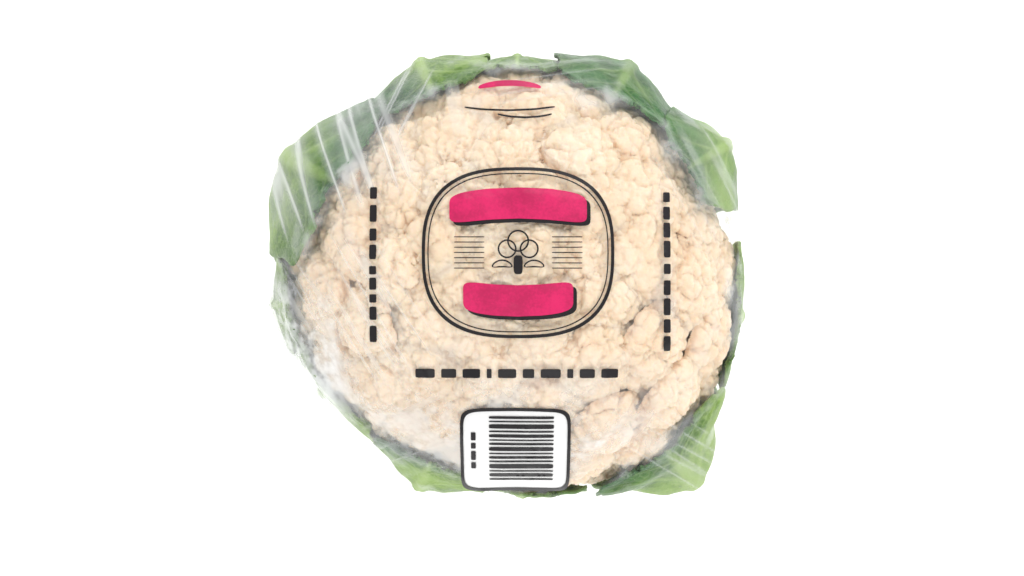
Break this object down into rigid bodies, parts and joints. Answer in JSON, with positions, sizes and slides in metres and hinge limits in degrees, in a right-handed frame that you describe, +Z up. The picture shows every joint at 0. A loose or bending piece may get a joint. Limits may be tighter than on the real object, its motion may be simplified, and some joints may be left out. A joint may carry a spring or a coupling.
{
  "type": "cauliflower",
  "caption": "Trimmed cauliflower head with cut stem and wrapper leaves, in clear printed film gathered under the stem and closed by a round label it rests on.",
  "frame": {"origin": "centre of the flat underside of the closing label, on the surface the head rests on", "axes": "+Z up through the crown of the curd, +X along the longest way across the head, +Y across it"},
  "size_m": [0.1708, 0.1601, 0.1134],
  "materials": {
    "curd": "matte, fine-grained cream curd",
    "stem": "moist pale green cut stalk",
    "leaf": "waxy green leaf with a pale rib and veins",
    "film": "clear, glossy, thin plastic film",
    "label": "smooth white coated paper",
    "ink": "black printed ink on film"
  },
  "bodies": {
    "root": {"curd": "curd", "stem": "stem", "leaf_01": "leaf", "leaf_02": "leaf", "leaf_03": "leaf", "leaf_04": "leaf", "leaf_05": "leaf", "leaf_06": "leaf", "leaf_07": "leaf", "leaf_08": "leaf", "leaf_09": "leaf", "leaf_10": "leaf", "leaf_11": "leaf", "film_wrap": "film", "closing_label": "label"}
  },
  "joints": []
}
